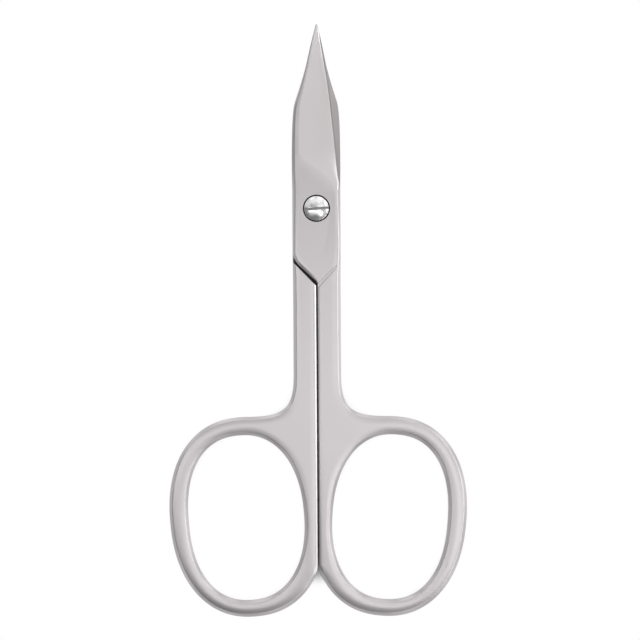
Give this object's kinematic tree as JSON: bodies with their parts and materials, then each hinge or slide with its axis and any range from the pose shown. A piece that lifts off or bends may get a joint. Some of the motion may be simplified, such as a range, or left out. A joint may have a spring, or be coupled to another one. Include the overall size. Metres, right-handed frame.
{
  "type": "manicure scissors",
  "caption": "Slim steel manicure scissors with short curved pointed blades, a lapped joint, oval finger rings and a slotted pivot screw.",
  "frame": {"origin": "the pivot axis, on the back face that the closed scissors lie on", "axes": "+Y from the pivot to the blade tips, +Z along the pivot axis out of the face with the screw's slotted head, +X to the right seen from that face, with the tips up"},
  "size_m": [0.0452, 0.09, 0.0041],
  "materials": {
    "satin_steel": "satin ground stainless steel, very fine grain",
    "polished_steel": "polished stainless steel"
  },
  "bodies": {
    "back": {"back_half": "satin_steel", "pivot_screw": "polished_steel"},
    "front": {"front_half": "satin_steel"}
  },
  "joints": [
    {"name": "pivot", "type": "hinge", "parent": "back", "child": "front", "pos_m": [0, 0, 0.0015], "axis": [0, 0, 1], "range_deg": [0, 130]}
  ]
}
